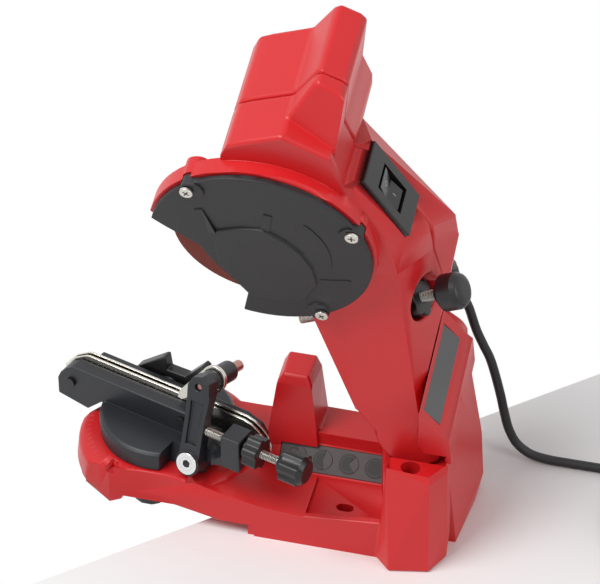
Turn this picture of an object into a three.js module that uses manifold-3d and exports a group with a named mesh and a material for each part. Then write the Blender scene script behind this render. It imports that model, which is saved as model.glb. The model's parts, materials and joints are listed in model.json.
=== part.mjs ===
// Electric chainsaw sharpener, in millimetres, +Z up.
// The origin lies on the underside of the foot, where the base is screwed to a bench.
// The bench edge runs under the left part, so the vise and its clamp knob hang past it.
import * as THREE from 'three';
import { ConvexGeometry } from 'three/addons/geometries/ConvexGeometry.js';
import { mergeVertices } from 'three/addons/utils/BufferGeometryUtils.js';
import Module from 'manifold-3d';

const wasm = await Module();
wasm.setup();

// Driving dimensions of the whole machine
const gap = 0.3;                 // clearance between seated pieces
const overrun = 2;               // how far a cut runs past what it cuts
const wall = 3;                  // moulded wall
const weld = 0.004;              // slivers thinner than this are closed up after a cut
const headTilt = 17.5;           // lean of the grinding head, degrees
const guardHeight = 210;         // centre of the disc above the bench
const guardSetback = 40;         // centre of the disc in front of the origin
const armSpan = 100;             // from the disc axis down the arm to the top of the label block
const baseSpan = 100;            // from the origin to the foot of the right-hand wall
const frontFace = 31;            // front wall of the base in front of the origin
const armFace = 13;              // flat front of the arm in front of the origin

// Grinding disc, guard and head housing
const wheelX = -2.9;
const wheelS = 4.2;
const discRadius = 49.5;
const discThickness = 2.6;
const discFront = 7.4;
const discBore = 11;
const guardRadius = 59.2;
const guardThickness = 2.6;
const guardRimWidth = 3;
const guardScrewCircle = 56.8;
const flangeRadius = 60.9;
const flangeBack = 13;
const flangePlate = 2;
const motorEnd = 85;
const armBack = 62;
const partingPlane = 40;
const motorRadius = 15.5;
const motorLength = 54;
const spindleRadius = 4;

// Arm pivot
const pivotXShare = 0.78;
const pivotDownShare = 1.32;
const pinRadius = 6;
const hubRadius = 15.5;
const footRadius = 23;
const footHeelRadius = 20;
const hubEnd = 28.3;
const armTravel = 34;

// Base
const floorHeight = 18.5;
const shelfHeight = 40.5;
const shoulderHeight = 65;
const bedHeight = 35.7;
const bedUnderside = 17;
const bedRadius = 51.8;
const blockHeight = 80;
const mountHoleRadius = 5.5;

// Vise
const swivelX = -71;
const swivelY = 10;
const swivelAngle = -18;
const turntableRadius = 39.3;
const turntableThickness = 12;
const railTop = 67;
const railReach = 70;
const railThickness = 1.5;
const chainSlot = 2;
const jawHeight = 27;
const jawThickness = 9.5;
const stopTilt = 17.5;

// Cord
const cordRadius = 2.75;
const coilTurns = 8;
const coilMeanRadius = 33;

const rad = THREE.MathUtils.degToRad;
const colours = {
  red: 0xcb2b28, black: 0x202123, grey: 0x4e4b4b, steel: 0xc8c4ba, chrome: 0xd8d8d8,
  abrasive: 0x7a3b30, label: 0x5f6061, brass: 0xb08d4a, copper: 0xa45f37, rubber: 0x161616,
};
const finishes = {
  red: [0.45, 0], black: [0.55, 0], grey: [0.6, 0], steel: [0.3, 1], chrome: [0.12, 1],
  abrasive: [0.95, 0], label: [0.5, 0], brass: [0.35, 1], copper: [0.4, 1], rubber: [0.7, 0],
};

// Joining and cutting of closed solids
function toSolid(geometry) {
  const bare = geometry.clone();
  bare.deleteAttribute('normal');
  bare.deleteAttribute('uv');
  const merged = mergeVertices(bare, 1e-4);
  const vertProperties = new Float32Array(merged.attributes.position.array);
  const triVerts = new Uint32Array(merged.index.array);
  return new wasm.Manifold(new wasm.Mesh({ numProp: 3, vertProperties, triVerts }));
}

function toGeometry(solid) {
  const mesh = solid.simplify(weld).getMesh();
  const geometry = new THREE.BufferGeometry();
  geometry.setAttribute('position', new THREE.BufferAttribute(new Float32Array(mesh.vertProperties), 3));
  geometry.setIndex(new THREE.BufferAttribute(new Uint32Array(mesh.triVerts), 1));
  geometry.computeVertexNormals();
  return geometry;
}

function join(...geometries) {
  return toGeometry(geometries.map(toSolid).reduce((whole, piece) => whole.add(piece)));
}

function cut(geometry, ...tools) {
  return toGeometry(tools.map(toSolid).reduce((whole, tool) => whole.subtract(tool), toSolid(geometry)));
}

function common(geometry, tool) {
  return toGeometry(toSolid(geometry).intersect(toSolid(tool)));
}

// Simple forms
function outline(points) {
  return new THREE.Shape(points.map(([x, y]) => new THREE.Vector2(x, y)));
}

function scaled(shares, size) {
  return shares.map((row) => row.map((share) => share * size));
}

function prism(shape, low, high, curveSegments = 8) {
  const geometry = new THREE.ExtrudeGeometry(shape, { depth: high - low, bevelEnabled: false, curveSegments });
  return geometry.translate(0, 0, low);
}

function bar(radius, low, high, sides = 24) {
  const geometry = new THREE.CylinderGeometry(radius, radius, high - low, sides);
  return geometry.rotateX(Math.PI / 2).translate(0, 0, (low + high) / 2);
}

function tapered(lowRadius, highRadius, low, high, sides = 24) {
  const geometry = new THREE.CylinderGeometry(highRadius, lowRadius, high - low, sides);
  return geometry.rotateX(Math.PI / 2).translate(0, 0, (low + high) / 2);
}

function ring(outer, inner, low, high, sides = 32) {
  const profile = [[inner, low], [outer, low], [outer, high], [inner, high], [inner, low]];
  return revolve(profile, sides);
}

function revolve(profile, sides = 32) {
  const points = profile.map(([radius, height]) => new THREE.Vector2(radius, height));
  return new THREE.LatheGeometry(points, sides).rotateX(Math.PI / 2);
}

function block(x0, x1, y0, y1, z0, z1) {
  const geometry = new THREE.BoxGeometry(x1 - x0, y1 - y0, z1 - z0);
  return geometry.translate((x0 + x1) / 2, (y0 + y1) / 2, (z0 + z1) / 2);
}

function hull(points) {
  return new ConvexGeometry(points.map((point) => new THREE.Vector3(...point)));
}

// A closed round tube along a list of points, with its frame carried along the path
function tube(points, radius, sides) {
  const count = points.length;
  const tangents = points.map((point, i) => {
    const before = points[Math.max(i - 1, 0)];
    const after = points[Math.min(i + 1, count - 1)];
    return after.clone().sub(before).normalize();
  });
  let side = new THREE.Vector3(0, 0, 1).cross(tangents[0]);
  if (side.lengthSq() < 0.01) side = new THREE.Vector3(1, 0, 0).cross(tangents[0]);
  side.normalize();
  const positions = [];
  points.forEach((point, i) => {
    side.sub(tangents[i].clone().multiplyScalar(side.dot(tangents[i]))).normalize();
    const up = tangents[i].clone().cross(side);
    for (let k = 0; k < sides; k += 1) {
      const angle = (2 * Math.PI * k) / sides;
      const corner = point.clone();
      corner.add(side.clone().multiplyScalar(radius * Math.cos(angle)));
      corner.add(up.clone().multiplyScalar(radius * Math.sin(angle)));
      positions.push(corner.x, corner.y, corner.z);
    }
  });
  const indices = [];
  for (let i = 0; i < count - 1; i += 1) {
    for (let k = 0; k < sides; k += 1) {
      const a = i * sides + k;
      const b = i * sides + ((k + 1) % sides);
      indices.push(a, b, a + sides, b, b + sides, a + sides);
    }
  }
  for (let k = 1; k < sides - 1; k += 1) {
    const last = (count - 1) * sides;
    indices.push(0, k + 1, k);
    indices.push(last, last + k, last + k + 1);
  }
  const geometry = new THREE.BufferGeometry();
  geometry.setAttribute('position', new THREE.Float32BufferAttribute(positions, 3));
  geometry.setIndex(indices);
  geometry.computeVertexNormals();
  return geometry;
}

function piece(parent, name, geometry, colour) {
  const [roughness, metalness] = finishes[colour];
  const material = new THREE.MeshStandardMaterial({ color: colours[colour], roughness, metalness });
  const mesh = new THREE.Mesh(geometry, material);
  mesh.name = name;
  parent.add(mesh);
  return mesh;
}

// The machine and the frame of its tilted head. In the head frame x runs to the right,
// y up along the disc, and z out of the disc towards the user, so depth behind the guard is -z.
const sharpener = new THREE.Group();
const head = new THREE.Group();
head.position.set(0, -guardSetback, guardHeight);
head.rotation.x = rad(90 + headTilt);
head.updateMatrix();
sharpener.add(head);
const intoHead = head.matrix.clone().invert();

function headPrism(shape, front, back, curveSegments) {
  return prism(shape, -back, -front, curveSegments);
}

function headBar(radius, front, back, sides) {
  return bar(radius, -back, -front, sides);
}

function inWorld(geometry) {
  return geometry.clone().applyMatrix4(head.matrix);
}

function inHead(geometry) {
  return geometry.clone().applyMatrix4(intoHead);
}

// Depth behind the guard of the upright plane y = level, at a height s along the disc
function depthAt(level, s) {
  return (level + guardSetback + s * Math.sin(rad(headTilt))) / Math.cos(rad(headTilt));
}

const pivotX = pivotXShare * armSpan;
const pivotS = -pivotDownShare * armSpan;

function polar(radius, degrees) {
  return [pivotX + radius * Math.cos(rad(degrees)), pivotS + radius * Math.sin(rad(degrees))];
}

function arc(radius, from, to, steps) {
  return Array.from({ length: steps + 1 }, (_, i) => polar(radius, from + ((to - from) * i) / steps));
}

// Guard: black dished cover with a straight-sided window where the disc meets the chain
const windowShares = [[-1.1, 0.353], [-0.971, 0.248], [-0.811, 0.117], [-0.564, -0.061], [-0.454, -0.275],
  [-0.274, -0.522], [-0.167, -0.696], [-0.22, -0.941], [-0.25, -1.1], [-1.1, -1.1]];
const windowShape = outline(scaled(windowShares, guardRadius));
const wheel = new THREE.Group();
wheel.position.set(wheelX, wheelS, 0);
head.add(wheel);
const windowCut = headPrism(windowShape, -motorEnd, flangeBack + gap / 2);
const guardScrewAngles = [128, 28, -57.5];
const hubPlateShares = [[-0.42, 0.2], [-0.16, 0.3], [0.05, 0.32], [0.24, 0.19], [0.37, 0.05], [0.46, -0.15], [0.49, -0.37],
  [0.37, -0.64], [0.22, -0.73], [-0.12, -0.72], [-0.25, -0.5], [-0.4, -0.24]];
const lobeRadius = 6.4;
const lobeCircle = 54.8;
const guardScrewRadius = 3.6;
const screwShankRadius = 1.9;
const guardRimBack = 3.2;
const lobeBack = 6;

function onScrewCircle(degrees) {
  return [guardScrewCircle * Math.cos(rad(degrees)), guardScrewCircle * Math.sin(rad(degrees))];
}

function onLobeCircle(degrees) {
  return [lobeCircle * Math.cos(rad(degrees - 1.5)), lobeCircle * Math.sin(rad(degrees - 1.5))];
}

const guardPlate = headBar(guardRadius, 0, guardThickness, 72);
const guardRim = ring(guardRadius, guardRadius - guardRimWidth, -guardRimBack, 0, 72);
const guardBoss = headPrism(outline(scaled(hubPlateShares, guardRadius)), -guardThickness / 2, guardThickness);
const guardLobes = guardScrewAngles.map((degrees) => {
  const [x, y] = onLobeCircle(degrees);
  return bar(lobeRadius, -lobeBack, guardThickness / 2, 20).translate(x, y, 0);
});
const guardHoles = guardScrewAngles.map((degrees) => {
  const [x, y] = onScrewCircle(degrees);
  return bar(screwShankRadius + gap, -motorEnd, lobeBack, 16).translate(x, y, 0);
});
const discRoom = headBar(discRadius + guardRimWidth, guardThickness, flangeBack - flangePlate, 72);
const onWheel = (geometry) => geometry.clone().translate(wheelX, wheelS, 0);
const guardSolid = cut(join(guardPlate, guardRim, guardBoss, ...guardLobes), windowCut, discRoom, ...guardHoles);
piece(wheel, 'guard', guardSolid, 'black');

guardScrewAngles.forEach((degrees, i) => {
  const [x, y] = onScrewCircle(degrees);
  const headHeight = guardScrewRadius / 2;
  const top = guardThickness / 2 + gap;
  const screw = join(
    bar(guardScrewRadius, top, top + headHeight, 20),
    bar(screwShankRadius, -flangeBack + gap, top + headHeight / 2, 16),
  );
  piece(wheel, `guard_screw_${i + 1}`, screw.translate(x, y, 0), 'steel');
});

// Grinding disc with its flanges, nut and the motor that turns it
const discBack = discFront + discThickness;
piece(wheel, 'grinding_disc', revolve([
  [discBore, -discBack], [discRadius - discThickness / 4, -discBack], [discRadius, -discBack + discThickness / 4],
  [discRadius, -discFront - discThickness / 4], [discRadius - discThickness / 4, -discFront], [discBore, -discFront],
  [discBore, -discBack],
], 64), 'abrasive');
const flangeDisc = discBore * 1.3;
const hubRecessBack = flangeBack + 1;
piece(wheel, 'disc_inner_flange', cut(join(
  headBar(discBore - gap, discFront + discThickness / 2, discBack + gap, 32),
  headBar(flangeDisc, discBack + gap, hubRecessBack - gap, 32),
), headBar(spindleRadius + gap, 0, motorEnd, 16)), 'steel');
const nutSpan = spindleRadius * 1.9;
const nutFront = guardThickness + gap;
piece(wheel, 'disc_nut', cut(join(
  headBar(nutSpan, nutFront, discFront - gap * 3, 6),
  headBar(discBore * 0.8, discFront - gap * 4, discFront + discThickness / 2 - gap, 32),
), headBar(spindleRadius + gap, 0, motorEnd, 16)), 'steel');
const motorFront = flangeBack + wall + gap;
const motorBack = motorFront + motorLength;
piece(wheel, 'spindle', headBar(spindleRadius, nutFront + gap, motorBack + wall, 16), 'steel');
piece(wheel, 'motor', cut(
  headBar(motorRadius, motorFront, motorBack, 36),
  headBar(spindleRadius + gap, 0, motorEnd, 16),
), 'steel');

// Outline of the head housing and of the arm, as shares of the arm span
const housingShares = [[-0.22, -0.3], [-0.22, 0.66], [-0.183, 0.745], [-0.108, 0.785], [0.11, 0.88],
  [0.35, 0.755], [0.407, 0.573], [0.405, 0.507], [0.34, 0.18], [0.3, -0.3]];
const finShares = [[0.02, 0.7], [0.11, 0.878], [0.23, 1.06], [0.262, 1.08], [0.372, 1.03], [0.396, 1.0], [0.36, 0.7]];
const armRightShares = [[0.4, 0.47], [0.889, -0.26], [0.9, -0.38], [0.85, -0.71], [0.82, -0.93],
  [0.805, -0.985], [0.795, -1.17]];
const switchFaceShares = [[0.478, 0.495], [0.704, 0.078]];
const armLeftShares = [[0.65, -1.495], [0.566, -1.405], [0.45, -1.22], [0.248, -0.64], [-0.1, -0.3]];
const facetFrontShares = [[0.45, 0.5], [0.62, 0.15], [0.665, -0.15], [0.61, -0.567], [0.717, -0.973], [0.795, -1.17]];

const faceDepth = (s) => depthAt(-armFace, s);
const housing = headPrism(outline(scaled(housingShares, armSpan)), flangeBack - flangePlate, motorEnd);
const fin = headPrism(outline(scaled(finShares, armSpan)), flangeBack - flangePlate, motorEnd);
const finSlope = hull([
  [0, guardRadius, flangeRadius], [armSpan / 2, guardRadius, flangeRadius],
  [0, armSpan * 1.2, flangeRadius], [armSpan / 2, armSpan * 1.2, flangeRadius],
  [0, guardRadius, -flangeBack + flangePlate], [armSpan / 2, guardRadius, -flangeBack + flangePlate],
  [0, armSpan * 1.2, -motorEnd * 0.45], [armSpan / 2, armSpan * 1.2, -motorEnd * 0.45],
]);

// The arm as convex stretches between its flat upright front and its rear outline
function stretch(frontPoints, rearPoints, back = armBack) {
  const front = frontPoints.map(([x, s, depth]) => [x, s, -(depth ?? faceDepth(s))]);
  const rear = rearPoints.map(([x, s]) => [x, s, -back]);
  return hull([...front, ...rear]);
}

const rightEdge = scaled(armRightShares, armSpan);
const leftEdge = scaled(armLeftShares, armSpan);
const facet = scaled(facetFrontShares, armSpan);
const switchFace = scaled(switchFaceShares, armSpan);
const plateDepth = flangeBack - flangePlate;
const shoulderPart = stretch(
  [[-0.1 * armSpan, -0.3 * armSpan, plateDepth], [0, 0.6 * armSpan, plateDepth],
    [...facet[0], plateDepth + wall], [...facet[1], plateDepth], [...facet[2], plateDepth],
    [...switchFace[0], partingPlane / 2], [...switchFace[1], partingPlane / 2],
    [...switchFace[0], partingPlane * 1.18], [...switchFace[1], partingPlane * 1.18],
    [0.5 * armSpan, -0.45 * armSpan, plateDepth]],
  [leftEdge[4], [0, 0.47 * armSpan], ...rightEdge.slice(0, 4)],
);
const columnPart = stretch(
  [[0.1 * armSpan, -0.3 * armSpan, plateDepth], [...facet[2], plateDepth], leftEdge[3], leftEdge[2], facet[3], facet[4],
    facet[5]],
  [leftEdge[4], [0.29 * armSpan, -0.64 * armSpan], leftEdge[2], ...rightEdge.slice(2)],
);

// Foot of the arm: round heel on the left, slim hub on the right
const heelFrom = 185;
const heelTo = 290;
const toeFrom = 296;
const toeTo = 318;
const heelOutline = [
  ...arc(footRadius, heelFrom, heelTo, 10), ...arc(footHeelRadius, toeFrom, toeTo, 3),
  ...arc(hubRadius, toeTo + 6, 360 + 90, 12), leftEdge[2],
];
const footSlab = headPrism(outline(heelOutline), -armSpan / 2, hubEnd);
const behindFace = inHead(block(-armSpan, 2 * armSpan, -armFace, 2 * armSpan, -armSpan, 4 * armSpan));
const foot = common(footSlab, behindFace);

// Room for the tower's bearing boss behind the foot, opened towards the side it swings to
const skirtAngle = 178 - armTravel;
const bossRoom = headPrism(outline([
  ...arc(hubRadius + gap * 2, -90, skirtAngle, 16), polar(armSpan, skirtAngle), polar(armSpan * 1.5, -120),
]), hubEnd, motorEnd);
const flangeRing = headBar(flangeRadius, guardRimBack + gap, flangeBack, 72);
const lobeEnd = 17;
const flangeLobes = guardScrewAngles.map((degrees) => {
  const [x, y] = onLobeCircle(degrees);
  return headBar(lobeRadius + gap * 2, lobeBack + gap, lobeEnd, 20).translate(x, y, 0);
});
const flangeScrewHoles = guardScrewAngles.map((degrees) => {
  const [x, y] = onScrewCircle(degrees);
  return headBar(screwShankRadius + gap, 0, flangeBack + gap * 2, 16).translate(x, y, 0);
});
const lobeRooms = guardScrewAngles.map((degrees) => {
  const [x, y] = onLobeCircle(degrees);
  return headBar(lobeRadius + gap, 0, lobeBack + gap, 20).translate(x, y, 0);
});
const hubRecess = headBar(flangeDisc + gap * 2, guardThickness, hubRecessBack, 32);
const motorRoom = headBar(motorRadius + gap, flangeBack + wall, motorBack + gap, 36);
const spindleRoom = headBar(spindleRadius + gap * 2, 0, motorBack + wall + gap, 16);
const pinRoom = headBar(pinRadius + gap, -armSpan / 10, armBack, 24).translate(pivotX, pivotS, 0);

// Depth screw: a threaded rod through the arm that lands on the raised block of the base
const depthAngle = 29.5;
const depthX = 59.9;
const depthS = -60.4;
const depthN = 24;
const depthRodRadius = 3;
const depthOut = 30;
const depthIn = 60;
const depth = new THREE.Group();
depth.position.set(depthX, depthS, -depthN);
depth.rotation.order = 'ZYX';
depth.rotation.set(0, Math.PI / 2, rad(depthAngle));
depth.updateMatrix();
head.add(depth);

function onDepthAxis(geometry) {
  return geometry.clone().applyMatrix4(depth.matrix);
}

const lockSeat = 8;
const recessRadius = 12;
const depthHole = onDepthAxis(bar(depthRodRadius + gap, -armSpan, armSpan, 16));
const depthRecess = onDepthAxis(bar(recessRadius, lockSeat - gap, armSpan, 28));
const bushRadius = depthRodRadius * 1.8;
const bushLength = 14;
const bushRoom = onDepthAxis(bar(bushRadius + gap, lockSeat - bushLength, lockSeat, 20));

// Switch in the right-hand face of the arm
const switchLength = 47;
const switchWidth = 27;
const switchGroup = new THREE.Group();
const switchSlope = -61.6;
switchGroup.position.set(59.7, 29, -33);
switchGroup.rotation.z = rad(switchSlope);
switchGroup.updateMatrix();
head.add(switchGroup);
const switchDeep = 22;
const bezelProud = 1.5;

function inSwitch(geometry) {
  return geometry.clone().applyMatrix4(switchGroup.matrix);
}

const switchRoom = inSwitch(block(
  -switchLength / 2 - gap, switchLength / 2 + gap, -switchDeep, switchDeep, -switchWidth / 2 - gap, switchWidth / 2 + gap,
));

const armWhole = cut(
  join(housing, shoulderPart, columnPart, foot, ...[flangeRing, ...flangeLobes].map(onWheel), cut(fin, finSlope)),
  ...[discRoom, hubRecess, motorRoom, spindleRoom, ...lobeRooms].map(onWheel), bossRoom, pinRoom, depthHole, depthRecess, bushRoom, switchRoom,
  ...flangeScrewHoles.map(onWheel),
);
const slabReach = 4 * armSpan;
const frontHalf = block(-slabReach, slabReach, -slabReach, slabReach, -partingPlane + gap / 2, slabReach);
const rearHalf = block(-slabReach, slabReach, -slabReach, slabReach, -slabReach, -partingPlane - gap / 2);
const windowFlange = onWheel(headPrism(windowShape, -motorEnd, flangeBack + gap));
piece(head, 'arm_front_shell', cut(common(armWhole, frontHalf), windowFlange), 'red');
piece(head, 'arm_rear_shell', common(armWhole, rearHalf), 'red');


// Pivot pin, held in the foot and running in the tower's long bearing boss, with the return spring round it
const pinBack = armBack - gap;
piece(head, 'pivot_pin', headBar(pinRadius, -armSpan / 10 + gap, pinBack, 24).translate(pivotX, pivotS, 0), 'steel');
const springRadius = 9;
const springWire = 0.9;
const springTurns = 6;
const springFront = hubEnd + 4;
const springPitch = 3;
const springPoints = Array.from({ length: springTurns * 8 + 1 }, (_, i) => {
  const angle = (Math.PI * i) / 4;
  const deep = springFront + (springPitch * i) / 8;
  return new THREE.Vector3(pivotX + springRadius * Math.cos(angle), pivotS + springRadius * Math.sin(angle), -deep);
});
piece(head, 'return_spring', tube(springPoints, springWire, 5), 'steel');
console.log('return spring, least gap between turns', (springPitch - 2 * springWire).toFixed(2));

// Base: one moulding with the turntable bed, the front beam, the shelf with its stop block, and the tower
const bedTopEdge = 33;
const bedTop = bedHeight;
const beamShares = [[-0.95, 0.352], [-0.52, 0.335], [-0.055, 0.234], [0.2, 0.215], [0.2, 0.185], [0.67, 0.185],
  [0.67, 0], [-0.09, 0], [-0.09, 0.06], [-0.11, 0.08], [-0.31, 0.08], [-0.57, 0.14], [-0.95, 0.14]];
const lipShares = [[0.19, 0.215], [0.67, 0.27], [0.67, 0], [0.19, 0]];
const lipWidth = 3.5;

function alongY(shape, low, high) {
  return prism(shape, low, high).rotateX(Math.PI / 2).scale(1, -1, 1);
}

function upright(shares, front, back) {
  const shape = outline(scaled(shares, baseSpan));
  return prism(shape, -back, -front).rotateX(Math.PI / 2);
}

const beamBack = 5;
const beam = upright(beamShares, -frontFace, beamBack);
const lip = upright(lipShares, -frontFace, -frontFace + lipWidth);
const bedChamfer = 3;
const bedSkirt = 1.5;
const bed = revolve([
  [0, bedUnderside], [bedRadius - bedChamfer, bedUnderside - wall], [bedRadius + bedSkirt, bedUnderside],
  [bedRadius, bedTopEdge - wall], [bedRadius - bedChamfer, bedTopEdge], [turntableRadius + 1, bedTop], [0, bedTop],
], 64).translate(swivelX, swivelY, 0);
const bedCorner = hull([
  [-94, -31], [-112, -25], [-124, -10], [-124, 10], [-71, 64], [0, 64], [0, -31],
].flatMap(([x, y]) => [[x, y, 0], [x, y, shoulderHeight]]));
const bedTrimmed = common(bed, bedCorner);
const bedNose = hull([
  [-95, -31, 8], [-88, -31, 11.5], [-111, -25, 15], [-112, -10, 17], [-82, -10, 14],
  [-94, -31, 33.4], [-84, -31, 33.4], [-108.5, -25, 31.5], [-112, -10, 32.5], [-84, -10, 33.4],
]);

// Shelf behind the sloping panel, seen from the side
const shelfProfile = [
  [-frontFace + 1, 0], [-frontFace + 1, floorHeight], [7.5, floorHeight + 1], [20.5, 32.5], [20.5, shelfHeight],
  [44.5, shelfHeight], [44.5, 0],
];
const shelfSide = outline(shelfProfile);
const shelf = prism(shelfSide, -13, 67).applyMatrix4(
  new THREE.Matrix4().set(0, 0, 1, 0, 1, 0, 0, 0, 0, 1, 0, 0, 0, 0, 0, 1),
);
const stopBlock = hull([
  [-14, 17, 30], [17, 17, 30], [18, 44.5, 30], [-14, 44.5, 30],
  [-12, 21, shelfHeight], [15.5, 21, shelfHeight], [17, 44.5, shelfHeight], [-12.5, 44.5, shelfHeight],
  [-9, 22, 72], [11.5, 22, 72], [13, 43.5, 73], [-9, 43.5, 74],
  [-5.5, 24, 78], [8.8, 24, 78], [10, 42.7, blockHeight], [-6, 42.7, blockHeight],
]);
const backBridge = block(-swivelX * -1, 0, 20, 44.5, bedUnderside, bedHeight - 2);

// Tower: flared front foot, right-hand wall, and the rear body that carries the pivot
const towerLeft = 62;
const frontFoot = hull([
  [62, -31, 0], [71.5, -41, 0], [93.7, -36.4, 0], [101.4, -21, 0], [98, -9, 0], [62, 0, 0],
  [64, -31, 30], [69, -35, 12], [94, -34, 12], [102, -20, 14],
  [66, -31, shoulderHeight - 4], [91, -31, shoulderHeight - 4], [99, -18, shoulderHeight - 4],
  [67, -29, shoulderHeight], [90, -29, shoulderHeight], [98, -16, shoulderHeight], [98, 0, shoulderHeight],
  [64, 0, shoulderHeight],
]);
const rightWall = hull([
  [62, -8, 0], [104.3, -8, 0], [108.5, 28, 0], [108.8, 45, 0], [62, 45, 0],
  [110.9, 40, 13], [108.3, 40, 44], [56, 10, 0], [56, 45, 0], [56, 45, 60], [56, 10, 60],
  [98, -16, shoulderHeight], [99.5, 10, 92], [97.8, 40, 99.8], [94, 46, 99.8], [106, 48, 44], [108, 48, 0],
  [62, 50, 90], [62, 50, 0],
]);
const labelShares = [[0.827, -0.985], [0.832, -1], [0.94, -1.16], [0.99, -1.21], [1.0, -1.45], [0.9, -1.5], [0.8, -1.3],
  [0.81, -1.17]];
const labelFront = -20;
const labelBack = 50;
const labelBlock = headPrism(outline(scaled(labelShares, armSpan)), labelFront, labelBack);
const boss = headBar(hubRadius, hubEnd + gap, armBack, 36).translate(pivotX, pivotS, 0);
const bossFoot = hull([
  [pivotX - hubRadius, pivotS, -hubEnd - gap], [pivotX + hubRadius, pivotS, -hubEnd - gap],
  [pivotX - hubRadius, pivotS, -armBack], [pivotX + hubRadius, pivotS, -armBack],
  [pivotX - footRadius + 4, pivotS - 30, -hubEnd - gap], [pivotX + footRadius, pivotS - 30, -hubEnd - gap],
  [pivotX - footRadius + 4, pivotS - 30, -armBack], [pivotX + hubRadius, pivotS - 30, -armBack],
]);
const pocketTurn = armTravel + 2;
const footPocket = headPrism(outline([
  ...arc(footRadius + gap * 2, heelFrom - 8, heelTo + pocketTurn, 16),
  ...arc(footHeelRadius + gap * 2, toeFrom + pocketTurn, toeTo + pocketTurn, 3),
  ...arc(hubRadius + gap * 2, toeTo + pocketTurn + 4, 360 + 96, 12),
]), -armSpan / 2, hubEnd + gap);
const clearUpper = headPrism(outline([
  polar(hubRadius - 2, 90), polar(armSpan, 86), polar(armSpan, 125), polar(armSpan / 2, 150), polar(armSpan / 2, 190),
  polar(footRadius - 1, 176),
]), -armSpan / 2, armBack + overrun);
const behindShoulder = inHead(block(-armSpan, 2 * armSpan, -armFace - 4.4, 2 * armSpan, -armSpan, 4 * armSpan));
const pocketTool = common(footPocket, behindShoulder);
const springRoom = headBar(springRadius + springWire + gap * 2, hubEnd - overrun, armBack - 6, 32)
  .translate(pivotX, pivotS, 0);
const bearingRoom = headBar(pinRadius + gap, hubEnd - overrun, armBack + overrun, 24).translate(pivotX, pivotS, 0);
const swivelBoltRadius = 4;
const swivelHole = bar(swivelBoltRadius + gap, 0, shoulderHeight, 20).translate(swivelX, swivelY, 0);
const shoulderHole = bar(mountHoleRadius, -overrun, shoulderHeight + overrun, 24).translate(78.5, -23.3, 0);
const slotHole = join(
  bar(3, -overrun, shoulderHeight, 16).translate(38.5, -15, 0), bar(3, -overrun, shoulderHeight, 16).translate(42.5, -15, 0),
  block(38.5, 42.5, -18, -12, -overrun, shoulderHeight),
);
const knobRoom = bar(turntableRadius - 9, -overrun, bedUnderside, 32).translate(swivelX, swivelY, 0);
const scaleNotch = block(-2.4, 2.4, turntableRadius + 2, bedRadius + overrun, bedTopEdge - 3, bedHeight + overrun)
  .rotateZ(rad(150)).translate(swivelX, swivelY, 0);
const panelGap = 1.6;
const panelMiddle = new THREE.Matrix4().makeRotationX(rad(45)).setPosition(28, 14, 26);
const panelRoom = block(-33, 33, -8.2, 8.2, -panelGap, overrun).applyMatrix4(panelMiddle);
const labelLength = 58;
const labelWidth = 15.5;
const labelMiddle = new THREE.Matrix4().makeRotationZ(rad(-52.8)).setPosition(88.7, -108, -14);
const labelRoom = block(-labelWidth / 2, labelWidth / 2, -1, overrun, -labelLength / 2, labelLength / 2)
  .applyMatrix4(labelMiddle);
const baseWhole = cut(
  join(beam, lip, bedTrimmed, bedNose, shelf, stopBlock, backBridge, frontFoot, rightWall, inWorld(join(labelBlock, boss, bossFoot))),
  inWorld(clearUpper), inWorld(pocketTool), inWorld(springRoom), inWorld(bearingRoom), swivelHole, shoulderHole, slotHole,
  knobRoom, scaleNotch, panelRoom, inWorld(labelRoom), block(-2 * baseSpan, 2 * baseSpan, -baseSpan, baseSpan, -baseSpan, 0),
);
piece(sharpener, 'base_housing', baseWhole, 'red');

// Plain plate with four round pads on the slope, and the rating plate of the tower
const panel = new THREE.Group();
panel.applyMatrix4(panelMiddle);
sharpener.add(panel);
const padRadius = 6;
const padPitch = 15.6;
const pads = [-1.5, -0.5, 0.5, 1.5].map((step) => (
  bar(padRadius, -panelGap / 2, 0.4, 28).translate(step * padPitch, 0, 0)
));
const panelPlate = block(-33 + gap, 33 - gap, -8.2 + gap, 8.2 - gap, -panelGap + gap, 0);
piece(panel, 'info_plate', join(panelPlate, ...pads), 'grey');
const labelGroup = new THREE.Group();
labelGroup.applyMatrix4(labelMiddle);
head.add(labelGroup);
const labelHigh = 3.6;
piece(labelGroup, 'rating_plate', block(
  -labelWidth / 2 + gap, labelWidth / 2 - gap, -1 + gap, -gap / 2, -labelLength / 2 + gap, labelLength / 2 - gap,
), 'label');

// Vise: the turntable carries both jaws, and everything on it turns with it
const vise = new THREE.Group();
vise.position.set(swivelX, swivelY, 0);
vise.rotation.z = rad(swivelAngle);
sharpener.add(vise);
const tableLow = bedTop + gap;
const tableHigh = tableLow + turntableThickness;
const railLow = tableHigh + gap;
const slotHalf = chainSlot / 2;
const tableDisc = revolve([
  [0, tableLow], [turntableRadius, tableLow], [turntableRadius, tableHigh - 2], [turntableRadius - 2, tableHigh],
  [0, tableHigh],
], 64);
const stopBossX = 33.4;
const stopBossY = -30;
const stopBossZ = 45.6;
const stop = new THREE.Group();
stop.position.set(stopBossX, stopBossY, stopBossZ);
stop.rotation.x = rad(90 - stopTilt);
stop.updateMatrix();
vise.add(stop);
const stopRing = 7.5;
const leverDeep = 8;
const stopBoss = bar(stopRing, -leverDeep - 14, -leverDeep - gap, 28).applyMatrix4(stop.matrix);
const stopArmFoot = hull([
  [20, -24, tableLow], [40, -24, tableLow], [20, -10, tableLow], [40, -10, tableLow],
  [25, -18.8, 52], [41, -18.8, 52], [25, -10, 54], [41, -10, 54],
]);
const leverRoom = block(-16, 12, -12, 60, -leverDeep - gap, 60).applyMatrix4(stop.matrix);
const bossTrim = block(0, 80, -60, 60, 0, tableLow);
const screwBossY = -22;
const screwBossZ = 58;
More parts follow.
